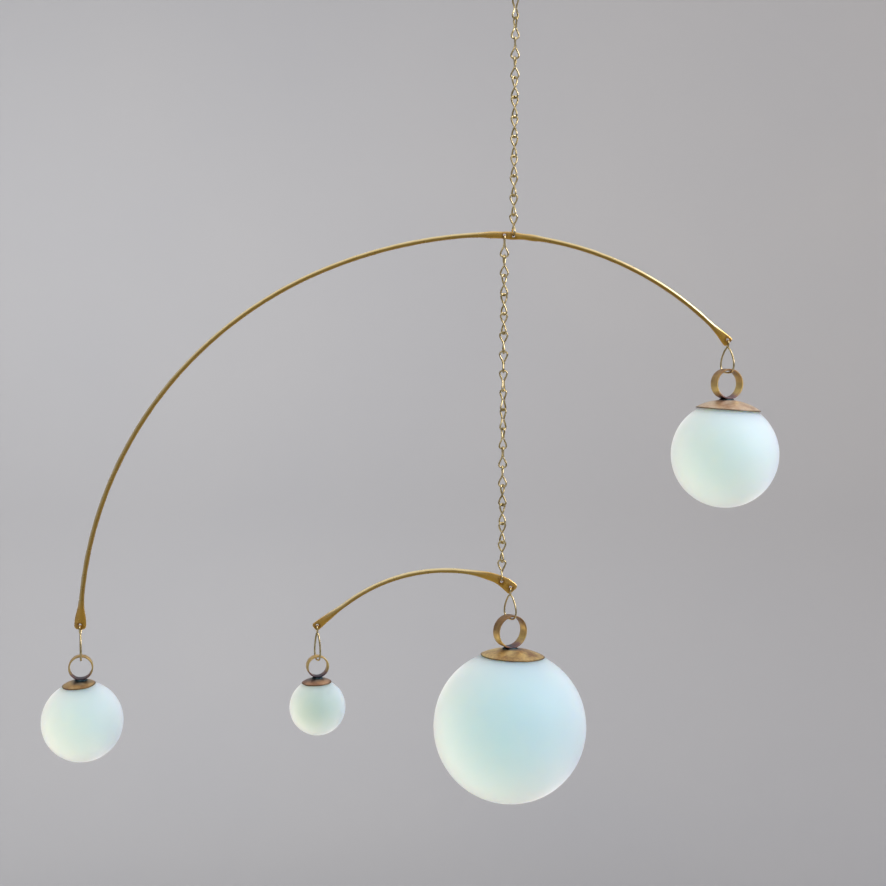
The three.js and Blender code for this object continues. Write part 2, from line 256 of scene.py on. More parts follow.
def tube_rings(centres, radius, sides, closed):
    """Rings of points round a path, carried along it without twist."""
    count = len(centres)
    if closed:
        tangents = np.roll(centres, -1, 0) - np.roll(centres, 1, 0)
    else:
        tangents = np.gradient(centres, axis=0)
    tangents = tangents / np.linalg.norm(tangents, axis=1)[:, None]
    along_y = abs(tangents[0][1]) >= NEARLY_ALONG
    start = np.array([1.0, 0.0, 0.0] if along_y else [0.0, 1.0, 0.0])
    normal = start - tangents[0] * tangents[0].dot(start)
    normal /= np.linalg.norm(normal)
    normals = [normal]
    for index in range(1, count + (1 if closed else 0)):
        tangent = tangents[index % count]
        normal = normal - tangent * tangent.dot(normal)
        normal /= np.linalg.norm(normal)
        normals.append(normal)
    left_over = 0.0
    if closed:
        first, last = normals[0], normals.pop()
        left_over = math.atan2(np.cross(last, first).dot(tangents[0]), last.dot(first))
    rings = []
    for index in range(count):
        across = np.cross(tangents[index], normals[index])
        shift = left_over * index / count
        ring = []
        for side in range(sides):
            angle = 2 * math.pi * side / sides + shift
            out = normals[index] * math.cos(angle) + across * math.sin(angle)
            ring.append(centres[index] + out * np.atleast_1d(radius)[index % np.size(radius)])
        rings.append(ring)
    return np.array(rings)


def skin(name, rings, closed, material, sharp_over=None):
    """A closed skin over rings of points. An open row of rings gets a flat end each way."""
    count, sides = rings.shape[:2]
    faces = []
    for row in range(count if closed else count - 1):
        below, above = row * sides, (row + 1) % count * sides
        for side in range(sides):
            after = (side + 1) % sides
            faces.append((below + side, below + after, above + after, above + side))
    if not closed:
        faces.append(tuple(reversed(range(sides))))
        faces.append(tuple((count - 1) * sides + side for side in range(sides)))
    piece = mesh_from(name, rings.reshape(-1, 3), faces, material)
    face_outwards(piece, sharp_over)
    return piece


def upper_chain_angle(links_below):
    """How far a link of the upper chain is turned, from the number of links under it."""
    held = min(UPPER_FIRST_TURN + links_below * UPPER_NEXT_TURN, UPPER_STEADY_TURN)
    return 90 + held + max(0, links_below - UPPER_STEADY_LINKS) * UPPER_FURTHER_TURN


def set_stops(ramp, *stops):
    """Gives a colour ramp its stops, each a position and a colour. A new ramp has two of its own."""
    elements = ramp.color_ramp.elements
    for number, (position, hexa) in enumerate(stops):
        stop = elements[number] if number < 2 else elements.new(position)
        stop.position = position
        stop.color = colour(hexa)


# Drawn brass wire, pale and bright: thin lacquer keeps it from tarnishing much, and the die leaves a
# slight unevenness that breaks the highlight. Both are drawn coarser than they are, to show at all
WIRE_TARNISH_MM = 3.846
DIE_MARK_MM = 1.111

wire_brass, tree, shader = new_material("drawn brass wire")
place = add_node(tree, "ShaderNodeTexCoord").outputs["Object"]
tarnish = add_node(tree, "ShaderNodeTexNoise", inputs={
    "Vector": place, "Scale": cells(WIRE_TARNISH_MM), "Detail": 3.0})
ramp = add_node(tree, "ShaderNodeValToRGB", inputs={"Fac": tarnish.outputs["Fac"]})
set_stops(ramp, (0.36, "#ad9a66"), (0.62, "#e2cf9e"))
tree.links.new(ramp.outputs["Color"], shader.inputs["Base Color"])
dies = add_node(tree, "ShaderNodeTexNoise", inputs={
    "Vector": place, "Scale": cells(DIE_MARK_MM), "Detail": 2.0})
gloss = add_node(tree, "ShaderNodeMapRange", inputs={
    "Value": dies.outputs["Fac"], "To Min": 0.14, "To Max": 0.3})
tree.links.new(gloss.outputs["Result"], shader.inputs["Roughness"])
relief = add_node(tree, "ShaderNodeBump", inputs={
    "Height": dies.outputs["Fac"], "Strength": 0.06, "Distance": 0.00005})
tree.links.new(relief.outputs["Normal"], shader.inputs["Normal"])
shader.inputs["Metallic"].default_value = 1.0

ring_angle = math.radians(upper_chain_angle(UPPER_LINKS - 1))
ring_radius = (TOP_RING_INSIDE + TOP_RING_WIRE) / 2
ring_line = []
for step in range(TOP_RING_STEPS):
    angle = 2 * math.pi * step / TOP_RING_STEPS
    out = ring_radius * math.cos(angle)
    up = ring_radius * math.sin(angle) - TOP_RING_INSIDE / 2
    ring_line.append((out * math.cos(ring_angle), out * math.sin(ring_angle), up))
top_rings = tube_rings(np.array(ring_line), TOP_RING_WIRE / 2, TOP_RING_SIDES, True)
top_ring = skin("brass_top_ring", top_rings, True, wire_brass)
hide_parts("top_ring")
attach(top_ring, "root")


# The jack chains
# Single jack chain of 1.2 mm brass wire. A machine bends each link into two pear-shaped loops a
# quarter turn apart, with both ends of the wire tucked in at the waist, and closes it cold.

CHAIN_WIRE = 1.2
CHAIN_PITCH = 12.7
LOWER_LINKS = 18
LOWER_TURN = 270.0
# The lower chain's links bear hard on each other, so that it comes out a trace shorter
LOWER_PITCH = 12.65
LOWER_LIFT = (CHAIN_PITCH - LOWER_PITCH) * (LOWER_LINKS - 1)
LOOP_WIDTH = 5.9
LOOP_PINCH = 2.0
LINK_LENGTH = CHAIN_PITCH + CHAIN_WIRE
TWIST_START = 0.34
TWIST_END = 0.66
# Half the room that the two wires need side by side at the waist, in wires
WAIST_SHARE = 0.52
LINK_STEPS = 72
LINK_SIDES = 10
LINE_SAMPLES = 2000
WIRE_END_GAP = 0.35
# How long and how deep a cut end of wire is rounded over, in wires and in radii
WIRE_END_LENGTH = 0.15
WIRE_END_DEPTH = 0.25
# Edges sharper than this, in degrees, stay crisp where the wire was cut
WIRE_CRISP = 50
# The first link's solid keeps this gap to the top ring, and each drawn chain starts this much lower
TOP_RING_GAP = 0.3
LINK_DROP = 0.15
# How far a link may hang turned from its place in the chain, either way, in degrees
LINK_PLAY = 4.0
LINK_PLAY_SEED = 7


def smooth_step(value, start, end):
    """0 up to the start, 1 from the end on, and a soft rise between them."""
    share = np.clip((value - start) / (end - start), 0, 1)
    return share * share * (3 - 2 * share)


def fullest(pinch, roundness):
    """The largest value that a loop's outline takes before it is brought to its width."""
    total = 2 * roundness + pinch
    sine_share = ((roundness + pinch) / total) ** ((roundness + pinch) / 2)
    return 2 ** roundness * sine_share * (roundness / total) ** (roundness / 2)


def two_loop_point(form, t):
    """A point of a wire with two loops, hung at z = 0. t runs from 0 to 1 once round it."""
    side = 1 if t < 0.5 else -1
    along = 4 * t if t < 0.5 else 4 - 4 * t
    in_upper = along < 1
    opening = math.pi * (1 - along if in_upper else along - 1)
    from_waist = (1 - math.cos(opening)) / 2
    half = form["upper half"] if in_upper else form["lower half"]
    roundness = 1.0 if in_upper else form["roundness"]
    pinch = form["pinch"]
    swell = max(0.0, math.sin(opening)) ** roundness * math.sin(opening / 2) ** pinch
    reach = half * swell / fullest(pinch, roundness)
    reach += form["waist half"] * math.cos(opening / 2) ** 2
    rise = form["upper length"] * from_waist if in_upper else -form["lower length"] * from_waist
    height = rise - form["upper length"]
    share = smooth_step(-height, form["twist from"], form["twist to"])
    angle = math.radians(form["upper angle"] + share * (form["lower angle"] - form["upper angle"]))
    return np.array([side * reach * math.cos(angle), side * reach * math.sin(angle), height])


def two_loop_line(form, steps):
    """Evenly spaced points along the wire, from its one end at the waist to the other."""
    shares = [(0.75 + k / LINE_SAMPLES) % 1.0 for k in range(LINE_SAMPLES + 1)]
    dense = np.array([two_loop_point(form, share) for share in shares])
    lengths = np.concatenate([[0], np.cumsum(np.linalg.norm(np.diff(dense, axis=0), axis=1))])
    wanted = np.linspace(WIRE_END_GAP / 2, lengths[-1] - WIRE_END_GAP / 2, steps)
    return np.stack([np.interp(wanted, lengths, dense[:, axis]) for axis in range(3)], axis=1)


def cut_wire(centres, wire, sides):
    """Rings round a wire whose two cut ends are slightly rounded over."""
    rounding = wire * WIRE_END_LENGTH
    spans = np.linalg.norm(np.diff(centres, axis=0), axis=1)
    from_start = np.concatenate([[0], np.cumsum(spans)])
    from_end = from_start[-1] - from_start
    near = np.clip(1 - np.minimum(from_start, from_end) / rounding, 0, 1)
    radii = wire / 2 * (1 - WIRE_END_DEPTH * near ** 2)
    return tube_rings(centres, radii, sides, False)


link_form = {
    "upper length": LINK_LENGTH / 2,
    "lower length": LINK_LENGTH / 2,
    "upper half": (LOOP_WIDTH - CHAIN_WIRE) / 2,
    "lower half": (LOOP_WIDTH - CHAIN_WIRE) / 2,
    "waist half": CHAIN_WIRE * WAIST_SHARE,
    "pinch": LOOP_PINCH,
    "roundness": 1.0,
    "upper angle": -90.0,
    "lower angle": 0.0,
    "twist from": LINK_LENGTH * TWIST_START,
    "twist to": LINK_LENGTH * TWIST_END,
}
link_line = two_loop_line(link_form, LINK_STEPS)
link = skin("jack_chain_link", cut_wire(link_line, CHAIN_WIRE, LINK_SIDES), False, wire_brass, WIRE_CRISP)


def chain_tree():
    """Repeats a link down a plumb line, each turned about it by its own angle."""
    tree = bpy.data.node_groups.new("hung jack chain", "GeometryNodeTree")
    tree.interface.new_socket("Geometry", in_out="OUTPUT", socket_type="NodeSocketGeometry")
    tree.interface.new_socket("Link", in_out="INPUT", socket_type="NodeSocketObject")
    tree.interface.new_socket("Links", in_out="INPUT", socket_type="NodeSocketInt")
    tree.interface.new_socket("Top", in_out="INPUT", socket_type="NodeSocketVector")
    for name in ("Pitch", "Lowest Angle", "Next Turn", "Most Turn", "Steady Links", "Further Turn", "Play"):
        tree.interface.new_socket(name, in_out="INPUT", socket_type="NodeSocketFloat")
    tree.interface.new_socket("Wire", in_out="INPUT", socket_type="NodeSocketMaterial")
    given = add_node(tree, "NodeGroupInput").outputs

    def calculate(operation, first, second):
        node = add_node(tree, "ShaderNodeMath", {"operation": operation}, {0: first, 1: second})
        return node.outputs["Value"]

    drop = calculate("MULTIPLY", given["Pitch"], -1.0)
    step = add_node(tree, "ShaderNodeCombineXYZ", inputs={"Z": drop})
    line = add_node(tree, "GeometryNodeMeshLine", {"mode": "OFFSET"}, {
        "Count": given["Links"], "Start Location": given["Top"], "Offset": step.outputs["Vector"]})
    index = add_node(tree, "GeometryNodeInputIndex").outputs["Index"]
    below = calculate("SUBTRACT", calculate("SUBTRACT", given["Links"], index), 1.0)
    held = calculate("MINIMUM", calculate("MULTIPLY", below, given["Next Turn"]), given["Most Turn"])
    turning = calculate("MAXIMUM", calculate("SUBTRACT", below, given["Steady Links"]), 0.0)
    further = calculate("MULTIPLY", turning, given["Further Turn"])
    play = add_node(tree, "FunctionNodeRandomValue", {"data_type": "FLOAT"}, {
        "ID": index, "Seed": LINK_PLAY_SEED})
    tree.links.new(calculate("MULTIPLY", given["Play"], -1.0), play.inputs[2])
    tree.links.new(given["Play"], play.inputs[3])
    angle = calculate("ADD", calculate("ADD", given["Lowest Angle"], held), further)
    angle = calculate("RADIANS", calculate("ADD", angle, play.outputs[1]), 0.0)
    turn = add_node(tree, "ShaderNodeCombineXYZ", inputs={"Z": angle})
    shape = add_node(tree, "GeometryNodeObjectInfo", inputs={"Object": given["Link"]})
    copies = add_node(tree, "GeometryNodeInstanceOnPoints", inputs={
        "Points": line.outputs["Mesh"], "Instance": shape.outputs["Geometry"],
        "Rotation": turn.outputs["Vector"]})
    real = add_node(tree, "GeometryNodeRealizeInstances", inputs={"Geometry": copies.outputs["Instances"]})
    finished = add_node(tree, "GeometryNodeSetMaterial", inputs={
        "Geometry": real.outputs["Geometry"], "Material": given["Wire"]})
    add_node(tree, "NodeGroupOutput", inputs={"Geometry": finished.outputs["Geometry"]})
    return tree


def plain_mesh(piece):
    """Turns what the modifiers make into the object's own mesh."""
    evaluated = piece.evaluated_get(bpy.context.evaluated_depsgraph_get())
    mesh = bpy.data.meshes.new_from_object(evaluated)
    piece.modifiers.clear()
    piece.data = mesh


hung_chain = chain_tree()


def hang_chain(name, values):
    """One chain as a plain mesh, from the named inputs of the chain's tree."""
    piece = bpy.data.objects.new(name, bpy.data.meshes.new(name))
    modifier = piece.modifiers.new("links", "NODES")
    modifier.node_group = hung_chain
    identifiers = {item.name: item.identifier for item in hung_chain.interface.items_tree
                   if item.in_out == "INPUT"}
    for label, value in values.items():
        modifier[identifiers[label]] = value
    bpy.context.scene.collection.objects.link(piece)
    plain_mesh(piece)
    return piece


first_link_top = -TOP_RING_INSIDE + TOP_RING_GAP + CHAIN_WIRE / 2
upper_chain = hang_chain("upper_jack_chain", {
    "Link": link, "Links": UPPER_LINKS, "Top": (0.0, 0.0, (first_link_top - LINK_DROP) * MM),
    "Pitch": CHAIN_PITCH * MM, "Lowest Angle": 90 + UPPER_FIRST_TURN, "Next Turn": UPPER_NEXT_TURN,
    "Most Turn": UPPER_STEADY_TURN - UPPER_FIRST_TURN, "Steady Links": float(UPPER_STEADY_LINKS),
    "Further Turn": UPPER_FURTHER_TURN, "Play": LINK_PLAY, "Wire": wire_brass})
lower_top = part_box("lower_chain_link_01")[1].z - CHAIN_WIRE / 2 * MM
lower_middle = sum(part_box("lower_chain_link_01"), Vector()) / 2
lower_chain = hang_chain("lower_jack_chain", {
    "Link": link, "Links": LOWER_LINKS, "Top": (lower_middle.x, 0.0, lower_top - LINK_DROP * MM),
    "Pitch": LOWER_PITCH * MM, "Lowest Angle": -LOWER_TURN, "Next Turn": LOWER_TURN / (LOWER_LINKS - 1),
    "Most Turn": LOWER_TURN, "Steady Links": float(LOWER_LINKS), "Further Turn": 0.0,
    "Play": LINK_PLAY, "Wire": wire_brass})
bpy.data.objects.remove(link)
for piece, nodes in ((upper_chain, "upper_chain_link_"), (lower_chain, "lower_chain_link_")):
    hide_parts(*[name for name in sorted(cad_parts) if name.startswith(nodes)])
    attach(piece, "root")


# The arms
# Round 3.2 mm brass rod, bent by hand over a former into an arch. Both ends, and the middle of the
# upper arm, are hammered flat and drilled, and the brass is polished but keeps its hammer marks.

ROD = 3.2
DRILL = 1.9
COUNTERSINK = 0.22
SEAT_THICKNESS = 2.1
BLADE_TAPER = 1.3
ROD_SIDES = 36
ROD_STEP = 0.8
BLADE_STEP = 0.32
BLADE_END_STEPS = 12
# A section is round in the rod and squarer the more it is spread, fully so from this spread on
RODS_ROUND = 2.0
BLADES_SQUARE = 3.4
SQUARE_SPREAD = 2.5
# The blades' ends are filed thinner over their last stretch, to this share of the thickness
BLADE_END = 0.35
BLADE_END_SHARE = 0.62
# Hammer blows: closest together and deepest where the arm is spread by this much or more
BEATEN_SPREAD = 1.2
BLOW_STEP = 1.1
BLOW_RADII = (1.5, 3.0)
BLOW_DEPTHS = (0.02, 0.055)
STRAY_BLOWS = 0.1
STRAY_DEPTH = 0.15
# The edges wave in and out a little: rates in radians for each millimetre, sizes in millimetres
EDGE_WAVES = 9
EDGE_WAVE_RATES = (0.12, 0.5)
EDGE_WAVE_SIZES = (0.02, 0.05)
ROD_WAVINESS = 0.35
BLADE_WAVINESS = 0.9
# Waves start anywhere within a turn, in radians
ANY_START = 6.3
CUTTER_REACH = 4.0
CUTTER_SIDES = 40
HOLE_CRISP = 32

upper_arm_form = {
    "heading": 88.3,
    "bends": ((266.0, 65.1), (310.0, 17.1), (213.0, 53.3)),
    "left blade": {"width": 8.3, "length": 25.0, "beyond": 2.6, "corner": 2.4},
    "right blade": {"width": 7.0, "length": 20.0, "beyond": 2.6, "corner": 1.2},
    "chain hole from right": 160.3,
    "second hole from first": 5.9,
    "seat length": 62.0,
    "hung at": (0.0, -177.8),
    "right hole aside": 0.9,
    "seed": 3,
}
lower_arm_form = {
    "heading": 39.7,
    "bends": ((348.0, 4.9), (110.0, 50.2), (33.6, 26.4)),
    "left blade": {"width": 6.1, "length": 25.0, "beyond": 2.7, "corner": 1.6},
    "right blade": {"width": 8.2, "length": 40.0, "beyond": 3.0, "corner": 1.8},
    "chain hole from right": 7.3,
    "second hole from first": 0.0,
    "seat length": 0.0,
    "hung at": (-5.9, -407.8 + LOWER_LIFT),
    "right hole aside": 0.0,
    "seed": 11,
}
# How far each hole is moved so that the wire in it bears on its edge
CHAIN_HOLE_SHIFT = 0.1
BALL_HOLE_SHIFT = 0.25


def arm_line(form, distances):
    """Points and headings of the arm's middle line, at distances from its left hole."""
    distances = np.asarray(distances, float)
    x, z = np.zeros_like(distances), np.zeros_like(distances)
    headings = np.zeros_like(distances)
    heading, start, at_x, at_z = math.radians(form["heading"]), 0.0, 0.0, 0.0
    last = len(form["bends"]) - 1
    for number, (radius, turn) in enumerate(form["bends"]):
        length = radius * math.radians(turn)
        after_start = (distances >= start) | (number == 0)
        before_end = (distances < start + length) | (number == last)
        here = after_start & before_end
        headings[here] = heading - (distances[here] - start) / radius
        x[here] = at_x + radius * (math.sin(heading) - np.sin(headings[here]))
        z[here] = at_z + radius * (np.cos(headings[here]) - math.cos(heading))
        ends = heading - length / radius
        at_x += radius * (math.sin(heading) - math.sin(ends))
        at_z += radius * (math.cos(ends) - math.cos(heading))
        heading = ends
        start += length
    return x, z, headings


def arm_length(form):
    """From the left hole to the right one, along the arm."""
    return sum(radius * math.radians(turn) for radius, turn in form["bends"])


def arm_spread(form, distances):
    """How wide the rod is hammered at each distance, in the arm's plane."""
    length = arm_length(form)
    width = np.full_like(distances, ROD)
    from_left = distances + form["left blade"]["beyond"]
    from_right = length + form["right blade"]["beyond"] - distances
    for blade, from_end in (("left blade", from_left), ("right blade", from_right)):
        share = 1 - smooth_step(from_end, 0, form[blade]["length"])
        width = width + (form[blade]["width"] - ROD) * share ** BLADE_TAPER
    if form["seat length"]:
        middle = length - form["chain hole from right"] - form["second hole from first"] / 2
        share = 1 - smooth_step(np.abs(distances - middle), 0, form["seat length"] / 2)
        width = width + (ROD ** 2 / SEAT_THICKNESS - ROD) * share
    return width


def corner_share(blade, from_end):
    """What the rounded corners leave of a blade's width."""
    inside = np.clip(1 - from_end / blade["corner"], 0, 1)
    return 1 - 2 * blade["corner"] / blade["width"] * (1 - np.sqrt(1 - inside ** 2))


def arm_stations(form):
    """Distances of the sections: closest at the corners of the blades' ends."""
    low = -form["left blade"]["beyond"]
    high = arm_length(form) + form["right blade"]["beyond"]
    near = 1 - np.cos(np.linspace(0, math.pi / 2, BLADE_END_STEPS))
    left = low + form["left blade"]["corner"] * near
    right = high - form["right blade"]["corner"] * near
    left_end = low + form["left blade"]["length"]
    right_end = high - form["right blade"]["length"]
    parts = [left, np.arange(left[-1] + BLADE_STEP, left_end, BLADE_STEP),
             np.arange(left_end, right_end, ROD_STEP),
             np.arange(right_end, right[-1], BLADE_STEP), right]
    return np.unique(np.round(np.concatenate(parts), 4))


def hammer_blows(form, stations, widths):
    """Where the hammer fell, as (distance, offset, side, radius, depth), mostly where the rod is flat."""
    chance = random.Random(form["seed"])
    blows = []
    for distance in np.arange(stations[0], stations[-1], BLOW_STEP):
        width = float(np.interp(distance, stations, widths))
        flat = min(1.0, (width - ROD) / BEATEN_SPREAD)
        if chance.random() < STRAY_BLOWS + (1 - STRAY_BLOWS) * flat:
            side = chance.choice((-1, 1))
            offset = chance.uniform(-0.5, 0.5) * width
            depth = chance.uniform(*BLOW_DEPTHS) * (STRAY_DEPTH + (1 - STRAY_DEPTH) * flat)
            blows.append((distance, offset, side, chance.uniform(*BLOW_RADII), depth))
    return blows


def arm_skin(name, form, material):
    """The whole rod with its hammered blades, before it is drilled."""
    stations = arm_stations(form)
    x, z, headings = arm_line(form, stations)
    widths = arm_spread(form, stations)
    length = arm_length(form)
    from_left = stations + form["left blade"]["beyond"]
    from_right = length + form["right blade"]["beyond"] - stations
    share = corner_share(form["left blade"], from_left)
    share = share * corner_share(form["right blade"], from_right)
    thicknesses = ROD ** 2 / widths
    square = np.clip((widths - ROD) / SQUARE_SPREAD, 0, 1)
    power = RODS_ROUND + (BLADES_SQUARE - RODS_ROUND) * square
    edge = np.clip(np.minimum(from_left, from_right) / BLADE_END, 0, 1)
    thinned = thicknesses * (BLADE_END_SHARE + (1 - BLADE_END_SHARE) * np.sqrt(1 - (1 - edge) ** 2))
    wobble = random.Random(form["seed"] + 1)
    waves = [(wobble.uniform(*EDGE_WAVE_RATES), wobble.uniform(0, ANY_START),
              wobble.uniform(*EDGE_WAVE_SIZES)) for _ in range(EDGE_WAVES)]
    uneven = sum(size * np.sin(rate * stations + start) for rate, start, size in waves)
    uneven = uneven * (ROD_WAVINESS + BLADE_WAVINESS * np.clip(widths - ROD, 0, 1))
    blows = hammer_blows(form, stations, widths)
    rings = []
    for row, distance in enumerate(stations):
        angles = np.arange(ROD_SIDES) * 2 * math.pi / ROD_SIDES
        cosine, sine = np.cos(angles), np.sin(angles)
        half_width = widths[row] / 2 * share[row] + uneven[row]
        out = half_width * np.sign(cosine) * np.abs(cosine) ** (2 / power[row])
        back = thinned[row] / 2 * np.sign(sine) * np.abs(sine) ** (2 / power[row])
        for at, offset, side, radius, depth in blows:
            if abs(at - distance) < radius:
                reach = ((distance - at) ** 2 + (out - offset) ** 2) / radius ** 2
                dent = depth * np.clip(1 - reach, 0, 1) * (np.sign(sine) == side) * np.abs(sine)
                back = back - side * dent
        heading = headings[row]
        ring = np.stack([x[row] - out * math.sin(heading), back, z[row] + out * math.cos(heading)], 1)
        rings.append(ring)
    return skin(name, np.array(rings), False, material)


def drilled(piece, middles, thicknesses, material):
    """Cuts each hole right through, with a slight countersink on both faces."""
    angles = np.arange(CUTTER_SIDES) * 2 * math.pi / CUTTER_SIDES
    for (x, z), thickness in zip(middles, thicknesses):
        straight = thickness / 2 - COUNTERSINK
        widest = DRILL / 2 + CUTTER_REACH - straight
        rings = []
        for y, radius in ((-CUTTER_REACH, widest), (-straight, DRILL / 2),
                          (straight, DRILL / 2), (CUTTER_REACH, widest)):
            rings.append(np.stack([x + radius * np.cos(angles), np.full(CUTTER_SIDES, y),
                                   z + radius * np.sin(angles)], 1))
        cutter = skin("drill", np.array(rings), False, material)
        cut = piece.modifiers.new("hole", "BOOLEAN")
        cut.operation = "DIFFERENCE"
        cut.solver = "EXACT"
        cut.object = cutter
        plain_mesh(piece)
        bpy.data.objects.remove(cutter)
    face_outwards(piece, HOLE_CRISP)


def points_mm(piece):
    """The piece's points as an array, in millimetres."""
    points = np.zeros(len(piece.data.vertices) * 3)
    piece.data.vertices.foreach_get("co", points)
    return points.reshape(-1, 3) / MM


def stored(piece, label, values):
    """Stores a number on each point, for the material to read."""
    attribute = piece.data.attributes.new(label, "FLOAT", "POINT")
    attribute.data.foreach_set("value", np.asarray(values, np.float32))


# The arm's line is searched for the place nearest to each point in steps of this length, for some
# points at a time
SEARCH_STEP = 0.5
SEARCH_PAST_END = 4.0
SEARCHED_AT_ONCE = 4000
GOLDEN_SPREAD = 2.0


def store_arm_measures(piece, form, shift, middles):
    """Stores how far each point lies to the arch's outer side, how flat the arm is beaten there and
    how far the nearest hole's edge is."""
    dense = np.arange(-SEARCH_PAST_END, arm_length(form) + SEARCH_PAST_END, SEARCH_STEP)
    line_x, line_z, _ = arm_line(form, dense)
    points = points_mm(piece)
    x, z = points[:, 0] - shift[0], points[:, 2] - shift[1]
    nearest = np.empty(len(points))
    for start in range(0, len(points), SEARCHED_AT_ONCE):
        part = slice(start, start + SEARCHED_AT_ONCE)
        apart = (x[part, None] - line_x) ** 2 + (z[part, None] - line_z) ** 2
        nearest[part] = dense[apart.argmin(1)]
    to_hole = np.min([np.hypot(points[:, 0] - hx, points[:, 2] - hz) for hx, hz in middles], 0)
    spread = arm_spread(form, nearest)
    near_x, near_z, headings = arm_line(form, nearest)
    outwards = (z - near_z) * np.cos(headings) - (x - near_x) * np.sin(headings)
    # This measure drives the painted highlight and shade on the rod
    stored(piece, "outer", outwards / (spread / 2))
    stored(piece, "hole_mm", to_hole - DRILL / 2)
    stored(piece, "flat", np.clip((spread - ROD) / GOLDEN_SPREAD, 0, 1))


# Polished brass rod, hammered. Painted highlight and shade: pale along the arch's outer side, olive
# towards the inner one and warmer again right at the inner edge, a painted bounce light. Deep gold
# on the beaten flats and browned round the drilled holes
ROD_CLOUD_MM = 8.333
HOLE_BLOTCH_MM = 2.381
BUFFING_MM = 3.333
PEEN_MARK_MM = 2.381
HOLE_BLOTCHES = 6.0

arm_brass, tree, shader = new_material("polished hammered brass rod")
place = add_node(tree, "ShaderNodeTexCoord").outputs["Object"]
clouds = add_node(tree, "ShaderNodeTexNoise", inputs={
    "Vector": place, "Scale": cells(ROD_CLOUD_MM), "Detail": 3.0})
# The ramp below paints light by the outer side: a highlight along the arch's outside, shade towards its
# inside and a warm bounce at the inner edge
side = add_node(tree, "ShaderNodeAttribute", {"attribute_name": "outer"}).outputs["Fac"]
cloudy = add_node(tree, "ShaderNodeMath", {"operation": "MULTIPLY_ADD"}, {
    0: clouds.outputs["Fac"], 1: 0.5, 2: side})
across = add_node(tree, "ShaderNodeMapRange", inputs={
    "Value": cloudy.outputs["Value"], "From Min": -0.75, "From Max": 1.25})
ramp = add_node(tree, "ShaderNodeValToRGB", inputs={"Fac": across.outputs["Result"]})
set_stops(ramp, (0.0, "#cfa765"), (0.22, "#a8853f"), (0.48, "#cdaa5c"), (0.66, "#ead092"), (1.0, "#fbeabb"))
near_hole = add_node(tree, "ShaderNodeAttribute", {"attribute_name": "hole_mm"}).outputs["Fac"]
blotch = add_node(tree, "ShaderNodeTexNoise", inputs={
    "Vector": place, "Scale": cells(HOLE_BLOTCH_MM), "Detail": 4.0})
from_hole = add_node(tree, "ShaderNodeMath", {"operation": "MULTIPLY_ADD"}, {
    0: blotch.outputs["Fac"], 1: HOLE_BLOTCHES, 2: near_hole})
browned = add_node(tree, "ShaderNodeMapRange", {"clamp": True}, {
    "Value": from_hole.outputs["Value"], "From Min": 2.4, "From Max": 5.2, "To Min": 0.9, "To Max": 0.0})
flatness = add_node(tree, "ShaderNodeAttribute", {"attribute_name": "flat"}).outputs["Fac"]
beaten = add_node(tree, "ShaderNodeMapRange", inputs={"Value": flatness, "To Max": 0.8})
golden = add_node(tree, "ShaderNodeMix", {"data_type": "RGBA"}, {
    "Factor": beaten.outputs["Result"], MIX_FIRST: ramp.outputs["Color"], MIX_SECOND: colour("#ecb851")})
tint = add_node(tree, "ShaderNodeMix", {"data_type": "RGBA"}, {
    "Factor": browned.outputs["Result"], MIX_FIRST: golden.outputs[MIX_RESULT],
    MIX_SECOND: colour("#8a5220")})
tree.links.new(tint.outputs[MIX_RESULT], shader.inputs["Base Color"])
buffed = add_node(tree, "ShaderNodeTexNoise", inputs={
    "Vector": place, "Scale": cells(BUFFING_MM), "Detail": 3.0})
gloss = add_node(tree, "ShaderNodeMapRange", inputs={
    "Value": buffed.outputs["Fac"], "To Min": 0.22, "To Max": 0.36})
tree.links.new(gloss.outputs["Result"], shader.inputs["Roughness"])
peened = add_node(tree, "ShaderNodeTexVoronoi", {"feature": "SMOOTH_F1"}, {
    "Vector": place, "Scale": cells(PEEN_MARK_MM), "Smoothness": 0.6})
struck = add_node(tree, "ShaderNodeMapRange", inputs={"Value": flatness, "To Min": 0.05, "To Max": 0.3})
relief = add_node(tree, "ShaderNodeBump", inputs={
    "Height": peened.outputs["Distance"], "Strength": struck.outputs["Result"], "Distance": 0.00008})
tree.links.new(relief.outputs["Normal"], shader.inputs["Normal"])
shader.inputs["Metallic"].default_value = 1.0


def forge_arm(name, node, form):
    """Makes one arm, hung by its chain hole."""
    length = arm_length(form)
    chain_hole = length - form["chain hole from right"]
    distances = [0.0, length, chain_hole]
    if form["second hole from first"]:
        distances.append(chain_hole - form["second hole from first"])
    x, z, _ = arm_line(form, distances)
    shift = (form["hung at"][0] - x[2], form["hung at"][1] - z[2])
    x[1] += form["right hole aside"]
    lifts = [BALL_HOLE_SHIFT, BALL_HOLE_SHIFT, -CHAIN_HOLE_SHIFT, CHAIN_HOLE_SHIFT]
    middles = [(x[k] + shift[0], z[k] + shift[1] + lifts[k]) for k in range(len(distances))]
    thicknesses = ROD ** 2 / arm_spread(form, np.array(distances))
    piece = arm_skin(name, form, arm_brass)
    piece.data.transform(Matrix.Translation(Vector((shift[0], 0, shift[1])) * MM))
    drilled(piece, middles, thicknesses, arm_brass)
    store_arm_measures(piece, form, shift, middles)
    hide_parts(node)
    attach(piece, "root")


forge_arm("hammered_upper_arm", "upper_arm", upper_arm_form)
forge_arm("hammered_lower_arm", "lower_arm", lower_arm_form)


# The hanging wires
# One 1.2 mm brass wire for each ball, bent with round-nosed pliers into a small loop through the
# arm's hole and a long pear-shaped one round the band ring, its ends closed up at the waist.

HANGER_WIRE = 1.2
HANGER_TOP_WIDTH = 5.4
HANGER_PINCH = 1.0
HANGER_ROUNDNESS = 0.7
# The wire turns from its small loop's plane to its long one's over this length, mostly under the waist
TWIST_LENGTH = 3.2
TWIST_ABOVE_WAIST = 1 / 3
HANGER_STEPS = 120
HANGER_SIDES = 14

